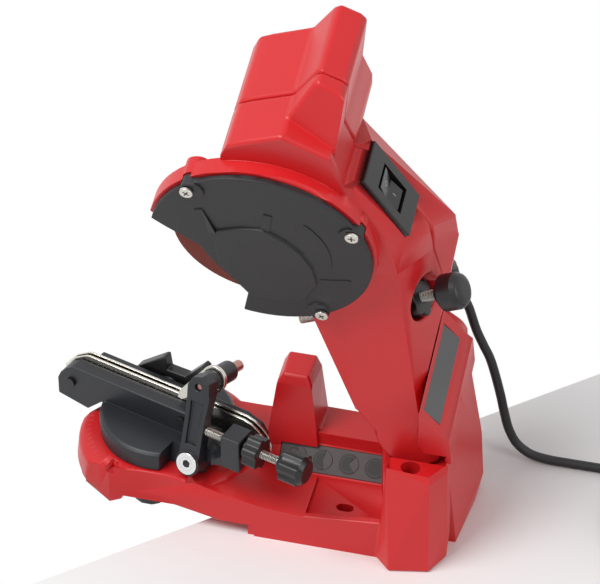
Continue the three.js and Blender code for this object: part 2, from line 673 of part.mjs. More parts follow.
const bracket = hull([
  [36, -25, 42], [60, -25, 52], [36, -8, 42], [60, -8, 52], [38, -12, 53], [60, -12, 60], [40, -24, 50],
  [60, -24, 60],
]);
const screwBossX = 54;
const screwBossLength = 12;
const screwAxisY = -20;
const screwAxisZ = 65.3;
const screwBoss = block(screwBossX, screwBossX + screwBossLength, screwAxisY - 7, screwAxisY + 7, 51, screwAxisZ + 7.5);
const stopRodRadius = 2.5;
const stopScrewHole = bar(stopRodRadius + gap, 45, 80, 16).rotateY(Math.PI / 2)
  .translate(0, screwAxisY, screwAxisZ);
const stopPinRadius = 4;
const stopPinRoom = bar(stopPinRadius + gap, -leverDeep - 12, overrun, 20).applyMatrix4(stop.matrix);
const boltHeadRadius = 7;
const boltHeadLow = tableHigh - 5;
const boltRoom = join(bar(swivelBoltRadius + gap, 0, tableHigh, 20), bar(boltHeadRadius + gap, boltHeadLow, tableHigh + 0.2, 6));
const clampZ = 56;
const clampX = -5;
const clampRadius = 3;
const frontJawProfile = [
  [-69, 40], [-48, 36.7], [-38, tableHigh - 2], [22, tableHigh - 2], [24, 50], [24, 61], [21, 63.5], [-57, 63.5],
  [-63, 60], [-67, 55.5], [-69, 51],
];
const jawFace = slotHalf + railThickness + gap;
const frontJaw = prism(outline(frontJawProfile), jawFace, jawFace + jawThickness).rotateX(Math.PI / 2);
const frontScrewHoles = [-59, 18].map((x) => (
  bar(1.9, 0, 30, 12).rotateX(Math.PI / 2).translate(x, 0, x < 0 ? 52 : 57)
));
const clampHole = bar(clampRadius + gap, -40, jawFace + jawThickness - 2, 20).rotateX(Math.PI / 2).translate(clampX, 0, clampZ);
const tableWhole = cut(
  join(tableDisc, frontJaw, stopArmFoot, cut(stopBoss, bossTrim), bracket, screwBoss),
  boltRoom, clampHole, leverRoom, stopScrewHole, stopPinRoom, ...frontScrewHoles,
);
piece(vise, 'turntable', tableWhole, 'black');

piece(vise, 'swivel_bolt', join(
  bar(swivelBoltRadius, -6, boltHeadLow + gap, 20), bar(boltHeadRadius, boltHeadLow + gap, tableHigh - gap, 6),
), 'steel');
const washerLow = bedUnderside - wall - gap;
piece(vise, 'swivel_washer', ring(11, swivelBoltRadius + gap, bedUnderside - 1.8, bedUnderside - gap, 28), 'steel');

// Star and cap knobs
function starKnob(radius, lobes, low, high, dent, turned = 0) {
  const points = [];
  const steps = Math.max(lobes * 6, 30);
  for (let i = 0; i < steps; i += 1) {
    const angle = (2 * Math.PI * i) / steps;
    const reach = radius - dent * (0.5 - 0.5 * Math.cos(lobes * angle)) ** 1.5;
    points.push([reach * Math.cos(angle + turned), reach * Math.sin(angle + turned)]);
  }
  return prism(outline(points), low, high);
}

const knobLow = -9;
const knobRadius = 24;
const knobTurn = -112;
piece(vise, 'swivel_lock_knob', cut(join(
  starKnob(knobRadius, 3, knobLow, 5, 11, rad(knobTurn)), tapered(12, 9, 5, bedUnderside - 2.1, 28),
), bar(swivelBoltRadius + gap, -6 - gap, 40, 20)), 'black');

// Rails: two bright steel plates with the chain slot between them
const railShares = [[-1, 0.715], [-1, 0.77], [-0.91, 0.87], [-0.79, 0.945], [-0.75, 0.957], [0.765, 0.957],
  [0.84, 0.935], [0.907, 0.895], [0.968, 0.833], [1, 0.75], [1, 0.715]];
const railOutline = scaled(railShares, railReach);
const railShape = outline([[-railReach, railLow], ...railOutline.slice(1, 10), [railReach, railLow]]);
const railHoles = [clampHole, ...frontScrewHoles.map((hole) => hole.clone().translate(0, 20, 0))];
const frontRail = prism(railShape, slotHalf, slotHalf + railThickness).rotateX(Math.PI / 2);
const rearRail = prism(railShape, -slotHalf - railThickness, -slotHalf).rotateX(Math.PI / 2);
piece(vise, 'front_rail', cut(frontRail, clampHole), 'steel');
piece(vise, 'rear_rail', cut(rearRail, clampHole), 'steel');
[-59, 18].forEach((x, i) => {
  const z = x < 0 ? 52 : 57;
  const screw = join(bar(1.5, slotHalf + railThickness + gap, jawFace + jawThickness - 1.5, 12),
    bar(3, jawFace + jawThickness + gap, jawFace + jawThickness + 1.8, 16),
    bar(1.5, jawFace + jawThickness - 2, jawFace + jawThickness + 1, 12));
  piece(vise, `jaw_screw_${i + 1}`, screw.rotateX(Math.PI / 2).translate(x, 0, z), 'black');
});
const rearJawProfile = [[-52, railLow], [-56, 56], [-50, 64], [50, 64], [60, 60], [64, 54], [62, railLow]];
const rearJaw = prism(outline(rearJawProfile), -jawFace - 6, -jawFace).rotateX(Math.PI / 2);
piece(vise, 'rear_jaw', cut(rearJaw, clampHole), 'black');

// Clamp bolt along the vise's cross axis, with a wing nut behind the rear jaw
const wingFront = jawFace + 6 + gap;
const clamp = new THREE.Group();
clamp.position.set(clampX, 0, clampZ);
clamp.rotation.x = rad(-90);
vise.add(clamp);
piece(clamp, 'clamp_bolt', join(
  bar(clampRadius, -jawFace - jawThickness + 2 + gap, wingFront + 15, 20), bar(clampRadius, -jawFace, 0, 20),
), 'steel');
const wingShape = outline([
  [-23.4, -5.3], [-5, -20], [-3.1, -20.6], [-1.8, -12.2], [11, -12.6], [22.6, -25.6], [24.8, -24.2], [24, -18], [9, 0],
  [5, 5], [-5, 5], [-10, 3.5], [-24.5, 1],
]);
piece(clamp, 'clamp_wing', cut(join(
  bar(7.4, wingFront, wingFront + 12, 28), prism(wingShape, wingFront + 1, wingFront + 8),
), bar(clampRadius + gap, 0, 60, 20)), 'black');

// Chain stop: a leaning arm on a pivot screw, a sleeve over the rails, its pin and the stop finger
const armLength = 47;
const armLean = -1.5;
const sleeveRadius = 5.4;
const sleeveEnd = 34;
const leverShape = outline([
  [-6.2, -5], [-3, -7.2], [3, -7.2], [6.4, -4], [6.6, 8], [6.2, 28], [7.2, 44], [5, 51], [0, 54], [-5.5, 52.5],
  [-8.4, 47], [-7.6, 40], [-6.6, 25], [-6.4, 8],
]);
const channel = prism(outline([[-3.6, 11], [3.4, 11], [3.2, 30], [3.8, 38], [-4.6, 38], [-4, 30]]), -2, overrun);
piece(stop, 'stop_arm', cut(join(
  prism(leverShape, -leverDeep, 0), bar(stopRing + 0.2, -leverDeep, 0.6, 32),
  bar(sleeveRadius + 0.8, -sleeveEnd, -leverDeep + 1, 24).translate(armLean, armLength, 0),
), channel, bar(stopPinRadius + gap, -40, 10, 20), bar(6.9, -1.4, 10, 28),
bar(2.2, -60, 10, 16).translate(armLean, armLength, 0)), 'black');
piece(stop, 'stop_pivot_screw', cut(join(
  bar(stopPinRadius, -leverDeep - 11, -1, 20), bar(6.6, -1.4 + gap, 1.6, 32),
), bar(2.4, 0, 10, 6)), 'chrome');
piece(stop, 'stop_pin', join(
  bar(1.9, -sleeveEnd - 2, -2, 16), bar(3.3, -sleeveEnd - 11, -sleeveEnd - gap, 20),
).translate(armLean, armLength, 0), 'steel');
const finger = new THREE.Group();
finger.position.set(armLean, armLength, -19);
stop.add(finger);
piece(finger, 'stop_finger', cut(join(
  bar(8, 0, 3, 24),
  prism(outline([[-7.5, 3], [-2, -7.5], [-17.5, -19], [-20.5, -18.5], [-20, -14.5]]), 0, 3),
), bar(sleeveRadius + 0.8 + gap, -5, 8, 24)), 'steel');

// Stop screw: threaded rod through the boss of the turntable, with a lock knob and a cap knob
const stopScrew = new THREE.Group();
stopScrew.position.set(0, screwAxisY, screwAxisZ);
stopScrew.rotation.set(0, Math.PI / 2, 0);
vise.add(stopScrew);
const stopRodFrom = 40.1;
const lockFrom = screwBossX + screwBossLength + gap;
piece(stopScrew, 'stop_screw_rod', bar(stopRodRadius, stopRodFrom, 96, 16), 'steel');
piece(stopScrew, 'stop_lock_knob', cut(join(
  starKnob(9.6, 6, lockFrom + 2, lockFrom + 11, 2), bar(5.5, lockFrom, lockFrom + 3, 24),
), bar(stopRodRadius + gap, 0, 200, 16)), 'black');
piece(stopScrew, 'stop_end_knob', cut(join(
  starKnob(9.8, 6, 92, 104, 1.8), tapered(8.6, 6.6, 104, 106.5, 28), tapered(5.5, 7, 89, 92, 24),
), bar(stopRodRadius + gap, 0, 96 + gap, 16)), 'black');

// Depth screw pieces
piece(depth, 'depth_bush', ring(bushRadius, depthRodRadius + gap, lockSeat - bushLength + gap, lockSeat - gap, 20), 'brass');
piece(depth, 'depth_rod', bar(depthRodRadius, -depthIn, 40, 16), 'steel');
piece(depth, 'depth_lock_knob', cut(join(
  starKnob(11, 6, lockSeat + 1.5, lockSeat + 12, 2.4), bar(6, lockSeat, lockSeat + 4, 24),
), bar(depthRodRadius + gap, 0, 100, 16)), 'black');
piece(depth, 'depth_end_knob', cut(join(
  bar(10.2, 33, 42, 36), tapered(10.2, 8.6, 42, 45, 36), tapered(8.6, 5, 45, 46.6, 36), tapered(5.6, 8, 29.5, 33, 28),
), bar(depthRodRadius + gap, 0, 40 + gap, 16)), 'black');

// Switch: bezel, body and rocker
piece(switchGroup, 'switch_bezel', cut(
  block(-switchLength / 2, switchLength / 2, -3, bezelProud, -switchWidth / 2, switchWidth / 2),
  block(-11.5, 11.5, -9, 9, -8, 8),
), 'black');
piece(switchGroup, 'switch_body', cut(block(-14, 14, -20, -3 - gap, -10, 10), block(-11, 11, -7.5, 0, -7, 7)), 'black');
const rocker = new THREE.Group();
rocker.position.set(0, -3, 0);
switchGroup.add(rocker);
piece(rocker, 'switch_rocker', prism(outline([
  [-10, 0], [-9, -1.6], [9, -1.6], [10, 0], [10, 3.6], [0, 2.2], [-10, 4.8],
]), -6.6, 6.6), 'black');

// Strain relief on the back of the arm: a flange and a tapered neck that points down and back
const relief = new THREE.Group();
const reliefX = 77;
const reliefS = -68;
relief.position.set(reliefX, reliefS, -armBack - gap);
head.add(relief);
sharpener.updateMatrixWorld(true);
const reliefLength = 28;
const reliefFlange = 6.5;
const reliefWide = 5.4;
const flangeThickness = 3;
const neckDirection = new THREE.Vector3(0.15, 0.68, -0.717).normalize();
const neckTurn = new THREE.Quaternion().setFromUnitVectors(new THREE.Vector3(0, 0, 1), neckDirection);
const neckStart = new THREE.Vector3(0, 0, -flangeThickness + 1).applyMatrix4(relief.matrixWorld);
const neck = tapered(reliefWide, cordRadius + 1, 0, reliefLength, 20).applyQuaternion(neckTurn)
  .translate(...neckStart.toArray()).applyMatrix4(relief.matrixWorld.clone().invert());
piece(relief, 'strain_relief', join(bar(reliefFlange, -flangeThickness, 0, 24), cut(neck, bar(20, 0, 20, 8))), 'rubber');
const neckTip = neckDirection.clone().multiplyScalar(reliefLength + gap).add(neckStart);

// Free stretch of the cord: down from the neck, on to the bench, and away to the right
const cordSides = 10;
const coilX = 240;
const coilRadius = 46;
const coilPitch = 6;
const layerRise = 6;
const coilLow = cordRadius + 0.15;
const cordLaneY = 72;
const coilY = cordLaneY - coilRadius;
const cordEndX = coilX - 2 * cordRadius - gap;
const cordRoute = [
  neckTip.toArray(), [82.1, 65.1, 140], [82.8, 68.3, 133.5], [84.3, 70.4, 124.8], [87.5, 71.2, 116.6], [91.2, 71.5, 109.2],
  [96.8, 71.5, 92.8], [101.6, 71.5, 82.2], [106, 71.5, 73], [113.2, 71.5, 48.6], [116.6, 71.6, 34], [120, 71.7, 22],
  [125.5, 71.9, 11.6], [134, 72, 5.2], [145, 72, 3.1], [158, 72, coilLow], [175, 72, coilLow], [195, 72, coilLow],
  [215, 72, coilLow], [cordEndX, cordLaneY, coilLow],
].map((point) => new THREE.Vector3(...point));

function cordTube(points, steps) {
  const section = new THREE.Shape();
  section.absarc(0, 0, cordRadius, 0, 2 * Math.PI);
  const corners = section.getPoints(cordSides / 4).slice(0, -1);
  const extrudePath = new THREE.CatmullRomCurve3(points, false, 'centripetal');
  console.log('cord stretch', extrudePath.getLength().toFixed(0), 'mm');
  return new THREE.ExtrudeGeometry(new THREE.Shape(corners), { steps, extrudePath, bevelEnabled: false });
}

piece(sharpener, 'power_cord', cordTube(cordRoute, 30), 'rubber');

// Coil: in by a steady spiral, up a layer where the spiral turns, and out again on top
const turnsIn = 3.75;
const turnsOut = 4;
const climbTurns = 0.5;
const loopSteps = 24;
const turnsAll = turnsIn + climbTurns + turnsOut;
const coilPoints = [new THREE.Vector3(coilX - 2 * cordRadius, cordLaneY, coilLow)];
for (let i = 0; i <= turnsAll * loopSteps; i += 1) {
  const turns = i / loopSteps;
  const middle = turnsIn + climbTurns / 2;
  const radius = coilRadius - coilPitch * (middle - Math.abs(turns - middle));
  const climbed = THREE.MathUtils.smoothstep(turns, turnsIn, turnsIn + climbTurns);
  const angle = 2 * Math.PI * (turns - 0.25);
  const height = coilLow + layerRise * climbed;
  coilPoints.push(new THREE.Vector3(coilX + radius * Math.cos(angle), coilY - radius * Math.sin(angle), height));
}
const coilEnd = coilPoints[coilPoints.length - 1].clone();
coilPoints.push(coilEnd.clone().sub(new THREE.Vector3(0, 2 * cordRadius, 0)));
let leastGap = Infinity;
for (let i = 0; i < coilPoints.length; i += 1) {
  for (let j = i + loopSteps / 2; j < coilPoints.length; j += 1) {
    leastGap = Math.min(leastGap, coilPoints[i].distanceTo(coilPoints[j]) - 2 * cordRadius);
  }
}
const coilLength = coilPoints.slice(1).reduce((sum, point, i) => sum + point.distanceTo(coilPoints[i]), 0);
console.log('coil', coilLength.toFixed(0), 'mm, least gap to itself', leastGap.toFixed(2), 'mm');
piece(sharpener, 'cord_coil', tube(coilPoints, cordRadius, 6), 'rubber');

// Tail of the cord, and a round two-pin plug lying beside the coil
const plugRadius = 18;
const plugNeck = 7;
const plugLength = 34;
const pinReach = 19;
const pinSpread = 19;
const tailStart = coilEnd.y - 2 * cordRadius - gap;
const tailLength = 34;
const plugStart = tailStart - tailLength - gap;
piece(sharpener, 'cord_tail', cordTube([
  [coilEnd.x, tailStart, coilEnd.z], [coilEnd.x, tailStart - 4, coilEnd.z], [coilEnd.x, tailStart - 9, coilEnd.z + 1],
  [coilEnd.x, tailStart - 17, 13.2], [coilEnd.x, tailStart - 26, 17.2], [coilEnd.x, tailStart - tailLength, plugRadius],
].map((point) => new THREE.Vector3(...point)), 8), 'rubber');
const plug = new THREE.Group();
plug.position.set(coilEnd.x, plugStart, plugRadius + 0.1);
plug.rotation.x = rad(90);
sharpener.add(plug);
const plugBody = revolve([
  [0, 0], [plugNeck - 2, 0], [plugNeck, 1.5], [plugNeck, 9], [plugRadius - 4, 17], [plugRadius, 21], [plugRadius, plugLength],
  [0, plugLength],
], 32);
const pins = [-1, 1].map((side) => bar(2.4, plugLength - 1, plugLength + pinReach, 16).translate((side * pinSpread) / 2, 0, 0));
piece(plug, 'plug', join(plugBody, ...pins), 'rubber');
export default sharpener;
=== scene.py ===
# Electric chainsaw sharpener on a pale bench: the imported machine, dressed for the photograph's view.
import json
import math

import bmesh
import bpy
from mathutils import Matrix, Vector
from mathutils.bvhtree import BVHTree


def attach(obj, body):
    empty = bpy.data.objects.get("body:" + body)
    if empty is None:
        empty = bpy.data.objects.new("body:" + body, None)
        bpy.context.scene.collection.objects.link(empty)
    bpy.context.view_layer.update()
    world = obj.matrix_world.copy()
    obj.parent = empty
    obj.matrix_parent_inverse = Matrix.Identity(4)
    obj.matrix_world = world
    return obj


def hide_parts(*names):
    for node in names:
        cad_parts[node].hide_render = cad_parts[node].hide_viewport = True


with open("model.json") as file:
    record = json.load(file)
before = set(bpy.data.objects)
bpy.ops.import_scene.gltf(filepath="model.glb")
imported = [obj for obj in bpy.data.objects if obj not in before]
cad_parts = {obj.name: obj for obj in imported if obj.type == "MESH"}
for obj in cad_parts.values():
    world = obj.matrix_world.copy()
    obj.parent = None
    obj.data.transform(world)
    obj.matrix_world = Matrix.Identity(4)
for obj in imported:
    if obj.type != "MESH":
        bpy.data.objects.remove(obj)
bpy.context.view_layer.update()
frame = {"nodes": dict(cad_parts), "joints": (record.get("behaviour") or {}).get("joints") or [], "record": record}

MM = 0.001
joints = {joint["name"]: joint for joint in frame["joints"]}


# Camera: a long lens looks down on the machine from the front, a little to its right.
# The picture is 600 by 584 with its centre on the optical axis, so there is no shift.
PICTURE_WIDTH, FOCAL_PIXELS, SENSOR_WIDTH = 600, 2600, 36
view_azimuth, view_elevation, view_roll = math.radians(12.936), math.radians(38.0), math.radians(0.77)
camera_place = Vector((0.2585, -1.0865, 1.0286))
view_back = Vector((math.sin(view_azimuth) * math.cos(view_elevation),
                    -math.cos(view_azimuth) * math.cos(view_elevation), math.sin(view_elevation)))
level_right = Vector((math.cos(view_azimuth), math.sin(view_azimuth), 0))
level_up = view_back.cross(level_right)
view_right = level_right * math.cos(view_roll) + level_up * math.sin(view_roll)
view_up = view_back.cross(view_right)
camera_data = bpy.data.cameras.new("camera")
camera_data.sensor_width = SENSOR_WIDTH
camera_data.lens = FOCAL_PIXELS * SENSOR_WIDTH / PICTURE_WIDTH
camera_data.clip_start, camera_data.clip_end = 0.05, 20
camera = bpy.data.objects.new("camera", camera_data)
camera_facing = Matrix((view_right, view_up, view_back)).transposed().to_4x4()
camera.matrix_world = Matrix.Translation(camera_place) @ camera_facing
bpy.context.scene.collection.objects.link(camera)
bpy.context.scene.camera = camera


# Mains cord: a black round lead of 5.5 mm from the neck on the arm's back down to the bench,
# away to the right, and wound there into a neat coil of two layers that ends in the plug.
def node_group(name, inputs, outputs):
    """A shader node group with named sockets: (name, type, default) each, and its two end nodes."""
    group = bpy.data.node_groups.new(name, "ShaderNodeTree")
    for label, kind, start in inputs:
        socket = group.interface.new_socket(label, in_out="INPUT", socket_type=kind)
        socket.default_value = start
    for label, kind in outputs:
        group.interface.new_socket(label, in_out="OUTPUT", socket_type=kind)
    return group, group.nodes.new("NodeGroupInput"), group.nodes.new("NodeGroupOutput")


def math_node(tree, operation, first, second, clamp=False):
    """A Math node fed by sockets or plain numbers, giving its output socket."""
    made = tree.nodes.new("ShaderNodeMath")
    made.operation = operation
    made.use_clamp = clamp
    for socket, value in zip(made.inputs, (first, second)):
        if isinstance(value, bpy.types.NodeSocket):
            tree.links.new(value, socket)
        else:
            socket.default_value = value
    return made.outputs[0]


def noise_node(tree, scale, detail, vector):
    """A Noise Texture on the given coordinates, giving its factor."""
    made = tree.nodes.new("ShaderNodeTexNoise")
    made.inputs["Detail"].default_value = detail
    if isinstance(scale, bpy.types.NodeSocket):
        tree.links.new(scale, made.inputs["Scale"])
    else:
        made.inputs["Scale"].default_value = scale
    tree.links.new(vector, made.inputs["Vector"])
    return made.outputs["Fac"]


# Grain and mottle of a made surface: broad colour drift, fine grain, and a gloss that drifts with both.
BROAD_SCALE, BROAD_DETAIL, FINE_DETAIL = 28, 4, 3
grain_group, grain_in, grain_out = node_group(
    "grain_and_mottle",
    [("Colour", "NodeSocketColor", (0.5, 0.5, 0.5, 1)), ("Mottle", "NodeSocketFloat", 0.1),
     ("Roughness", "NodeSocketFloat", 0.5), ("Gloss drift", "NodeSocketFloat", 0.1),
     ("Grain scale", "NodeSocketFloat", 1500), ("Stretch", "NodeSocketVector", (1, 1, 1))],
    [("Colour", "NodeSocketColor"), ("Roughness", "NodeSocketFloat"), ("Height", "NodeSocketFloat")])
grain_place = grain_group.nodes.new("ShaderNodeTexCoord")
grain_stretch = grain_group.nodes.new("ShaderNodeMapping")
grain_group.links.new(grain_place.outputs["Object"], grain_stretch.inputs["Vector"])
grain_group.links.new(grain_in.outputs["Stretch"], grain_stretch.inputs["Scale"])
broad = noise_node(grain_group, BROAD_SCALE, BROAD_DETAIL, grain_place.outputs["Object"])
fine = noise_node(grain_group, grain_in.outputs["Grain scale"], FINE_DETAIL, grain_stretch.outputs["Vector"])
drift = math_node(grain_group, "SUBTRACT", broad, 0.5)
shade = math_node(grain_group, "MULTIPLY_ADD", drift, grain_in.outputs["Mottle"])
shade.node.inputs[2].default_value = 1
fine_shade = math_node(grain_group, "MULTIPLY_ADD", math_node(grain_group, "SUBTRACT", fine, 0.5),
                       grain_in.outputs["Mottle"])
fine_shade.node.inputs[2].default_value = 1
tint = grain_group.nodes.new("ShaderNodeVectorMath")
tint.operation = "SCALE"
grain_group.links.new(grain_in.outputs["Colour"], tint.inputs[0])
grain_group.links.new(math_node(grain_group, "MULTIPLY", shade, fine_shade), tint.inputs["Scale"])
grain_group.links.new(tint.outputs[0], grain_out.inputs["Colour"])
dull = math_node(grain_group, "MULTIPLY", math_node(grain_group, "ADD", drift, math_node(
    grain_group, "SUBTRACT", fine, 0.5)), grain_in.outputs["Gloss drift"])
grain_group.links.new(math_node(grain_group, "ADD", dull, grain_in.outputs["Roughness"], True),
                      grain_out.inputs["Roughness"])
grain_group.links.new(fine, grain_out.inputs["Height"])


def linear(colour):
    """A hex colour as the eye sees it, in the linear values that a shader takes."""
    parts = [int(colour[i:i + 2], 16) / 255 for i in (1, 3, 5)]
    return [p / 12.92 if p <= 0.04045 else ((p + 0.055) / 1.055) ** 2.4 for p in parts] + [1]


def finish(name, colour, roughness, metallic=0.0, mottle=0.12, gloss_drift=0.12, grain_scale=1500.0,
           bump=0.15, depth=0.1, stretch=(1, 1, 1)):
    """A material whose colour, gloss and grain come from the shared grain group."""
    material = bpy.data.materials.new(name)
    material.use_nodes = True
    tree = material.node_tree
    shader = tree.nodes["Principled BSDF"]
    grain = tree.nodes.new("ShaderNodeGroup")
    grain.node_tree = grain_group
    grain.inputs["Colour"].default_value = linear(colour)
    grain.inputs["Mottle"].default_value = mottle
    grain.inputs["Roughness"].default_value = roughness
    grain.inputs["Gloss drift"].default_value = gloss_drift
    grain.inputs["Grain scale"].default_value = grain_scale
    grain.inputs["Stretch"].default_value = stretch
    relief = tree.nodes.new("ShaderNodeBump")
    relief.inputs["Strength"].default_value = bump
    relief.inputs["Distance"].default_value = depth * MM
    tree.links.new(grain.outputs["Height"], relief.inputs["Height"])
    tree.links.new(grain.outputs["Colour"], shader.inputs["Base Color"])
    tree.links.new(grain.outputs["Roughness"], shader.inputs["Roughness"])
    tree.links.new(relief.outputs["Normal"], shader.inputs["Normal"])
    shader.inputs["Metallic"].default_value = metallic
    return material


def smooth_route(points, per_span):
    """Points along a centripetal Catmull-Rom curve through the given ones."""
    ends = [points[0] * 2 - points[1], *points, points[-1] * 2 - points[-2]]
    route = []
    for p0, p1, p2, p3 in zip(ends, ends[1:], ends[2:], ends[3:]):
        t1 = (p1 - p0).length ** 0.5
        t2 = t1 + (p2 - p1).length ** 0.5
        t3 = t2 + (p3 - p2).length ** 0.5
        for i in range(per_span):
            t = t1 + (t2 - t1) * i / per_span
            a1 = p0 * ((t1 - t) / t1) + p1 * (t / t1)
            a2 = p1 * ((t2 - t) / (t2 - t1)) + p2 * ((t - t1) / (t2 - t1))
            a3 = p2 * ((t3 - t) / (t3 - t2)) + p3 * ((t - t2) / (t3 - t2))
            b1 = a1 * ((t2 - t) / t2) + a2 * (t / t2)
            b2 = a2 * ((t3 - t) / (t3 - t1)) + a3 * ((t - t1) / (t3 - t1))
            route.append(b1 * ((t2 - t) / (t2 - t1)) + b2 * ((t - t1) / (t2 - t1)))
    return route + [points[-1]]


rubber = finish("flexible_rubber", "#17171a", 0.55, mottle=0.2, grain_scale=2200, bump=0.2)
CORD_DIAMETER = 5.5
COIL_X, COIL_RADIUS, COIL_PITCH, LAYER_RISE = 240, 46, 6, 6
COIL_LOW, LANE_Y, SPAN_STEPS = 2.9, 72, 6
TURNS_IN, CLIMB_TURNS, TURNS_OUT, STEPS = 3.75, 0.5, 4, 48
cord_route = [Vector(point) for point in (
    (81.2, 61.3, 144.0), (82.1, 65.1, 140), (82.8, 68.3, 133.5), (84.3, 70.4, 124.8), (87.5, 71.2, 116.6),
    (91.2, 71.5, 109.2), (96.8, 71.5, 92.8), (101.6, 71.5, 82.2), (106, 71.5, 73), (113.2, 71.5, 48.6),
    (116.6, 71.6, 34), (120, 71.7, 22), (125.5, 71.9, 11.6), (134, 72, 5.2), (145, 72, 3.1), (158, 72, COIL_LOW),
    (175, 72, COIL_LOW), (195, 72, COIL_LOW), (215, 72, COIL_LOW), (COIL_X - 6, LANE_Y, COIL_LOW))]
coil_route = []
for step in range(int((TURNS_IN + CLIMB_TURNS + TURNS_OUT) * STEPS) + 1):
    turns = step / STEPS
    middle = TURNS_IN + CLIMB_TURNS / 2
    reach = COIL_RADIUS - COIL_PITCH * (middle - abs(turns - middle))
    part = min(max((turns - TURNS_IN) / CLIMB_TURNS, 0), 1)
    height = COIL_LOW + LAYER_RISE * part * part * (3 - 2 * part)
    turn = math.tau * (turns - 0.25)
    coil_route.append(Vector((COIL_X + reach * math.cos(turn),
                              LANE_Y - COIL_RADIUS - reach * math.sin(turn), height)))
coil_end = coil_route[-1]
tail_y = coil_end.y - CORD_DIAMETER
tail_route = [Vector((coil_end.x, tail_y - along, up)) for along, up in (
    (0, coil_end.z), (4, coil_end.z), (9, coil_end.z + 1), (17, 13.2), (26, 17.2), (34.3, 18))]
cord_line = [p * MM for p in smooth_route(cord_route, SPAN_STEPS)[:-1] + coil_route
             + smooth_route(tail_route, SPAN_STEPS)]
cord_curve = bpy.data.curves.new("mains_cord", "CURVE")
cord_curve.dimensions = "3D"
cord_curve.bevel_depth = CORD_DIAMETER / 2 * MM
cord_curve.bevel_resolution = 4
cord_curve.use_fill_caps = True
cord_spline = cord_curve.splines.new("POLY")
cord_spline.points.add(len(cord_line) - 1)
for point, place in zip(cord_spline.points, cord_line):
    point.co = (*place, 1)
cord_spline.use_smooth = True
cord_curve.materials.append(rubber)
cord = bpy.data.objects.new("mains_cord", cord_curve)
bpy.context.scene.collection.objects.link(cord)
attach(cord, "base")
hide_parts("power_cord", "cord_coil", "cord_tail")


# Strain relief and plug: black rubber mouldings at the two ends of the cord, the plug round with two pins.
# Their edges, like those of every moulding here, leave the tool slightly rounded: each edge takes as much of
# the radius as its neighbours leave room for, and less where the rounded faces would fold over.
WELD, THINNEST, FLAT_TURN, SHARP_TURN = 0.15 * MM, 0.1 * MM, math.radians(1), math.radians(32)
ROOM_SHARE, STRAIGHT_ON = 0.35, 0.9
CALM_ROUNDS, LAST_ROUNDS, SLIVER, TURNED_OVER = 6, 2, 1e-9, -0.05
OFF_SHARE, REACH_SHARE, EASED_SHARE = 0.6, 1.6, 0.5
EVEN_WEIGHT = 80


def merged_copy(node):
    """The CAD node's surface as one welded mesh, with flat stretches joined into single faces."""
    shape = bmesh.new()
    shape.from_mesh(frame["nodes"][node].data)
    bmesh.ops.remove_doubles(shape, verts=shape.verts, dist=WELD)
    bmesh.ops.dissolve_degenerate(shape, edges=shape.edges, dist=THINNEST)
    bmesh.ops.dissolve_limit(shape, angle_limit=FLAT_TURN, verts=shape.verts, edges=shape.edges)
    return shape


def weigh_edges(shape, radius):
    """Gives each sharp edge a share of the rounding radius that its neighbour edges have room for."""
    weight = shape.edges.layers.float.new("bevel_weight_edge")
    shape.normal_update()
    for edge in shape.edges:
        if len(edge.link_faces) != 2 or edge.calc_face_angle(0) < SHARP_TURN:
            continue
        along = (edge.verts[1].co - edge.verts[0].co).normalized()
        room = radius * MM / ROOM_SHARE
        for corner in edge.verts:
            for beside in corner.link_edges:
                if beside is edge:
                    continue
                heading = (beside.verts[1].co - beside.verts[0].co).normalized()
                if abs(heading.dot(along)) < STRAIGHT_ON:
                    room = min(room, beside.calc_length())
        edge[weight] = max(0.0, min(1.0, ROOM_SHARE * room / (radius * MM)))


def calm_edges(piece, surface, radius):
    """Lowers the rounding where the rounded faces would fold over or leave the surface that they come from."""
    mesh = piece.data
    weights = mesh.attributes["bevel_weight_edge"].data
    ends = [(mesh.vertices[edge.vertices[0]].co, mesh.vertices[edge.vertices[1]].co) for edge in mesh.edges]
    for attempt in range(CALM_ROUNDS):
        bpy.context.view_layer.update()
        rounded = piece.evaluated_get(bpy.context.evaluated_depsgraph_get()).data
        rounded.calc_loop_triangles()
        folded = []
        for face in rounded.loop_triangles:
            middle = sum((rounded.vertices[corner].co for corner in face.vertices), Vector()) / 3
            facing, _, distance = surface.find_nearest(middle)[1:]
            off = distance > OFF_SHARE * radius * MM or face.normal.dot(facing) < TURNED_OVER
            if off and face.area > SLIVER:
                folded.extend([middle] + [rounded.vertices[corner].co.copy() for corner in face.vertices])
        if not folded:
            return
        for number, (start, end) in enumerate(ends):
            if weights[number].value == 0:
                continue
            along = end - start
            for spot in folded:
                share = max(0.0, min(1.0, (spot - start).dot(along) / max(along.length_squared, 1e-12)))
                if (start + along * share - spot).length < REACH_SHARE * radius * MM:
                    weights[number].value *= EASED_SHARE if attempt < CALM_ROUNDS - LAST_ROUNDS else 0
                    break


def add_piece(name, shape, material, body, radius=0.0, segments=2):
    """A new piece from a bmesh, with edges rounded to a radius in millimetres, riding on a body."""
    if radius:
        weigh_edges(shape, radius)
        surface = BVHTree.FromBMesh(shape)
    mesh = bpy.data.meshes.new(name)
    shape.to_mesh(mesh)
    shape.free()
    mesh.shade_smooth()
    piece = bpy.data.objects.new(name, mesh)
    bpy.context.scene.collection.objects.link(piece)
    mesh.materials.append(material)
    if radius:
        rounding = piece.modifiers.new("rounded_edges", "BEVEL")
        rounding.width = radius * MM
        rounding.segments = segments
        rounding.limit_method = "WEIGHT"
        rounding.use_clamp_overlap = False
        rounding.harden_normals = True
        calm_edges(piece, surface, radius)
    mesh.set_sharp_from_angle(angle=SHARP_TURN)
    if radius:
        even = piece.modifiers.new("even_shading", "WEIGHTED_NORMAL")
        even.keep_sharp = True
        even.weight = EVEN_WEIGHT
    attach(piece, body)
    return piece


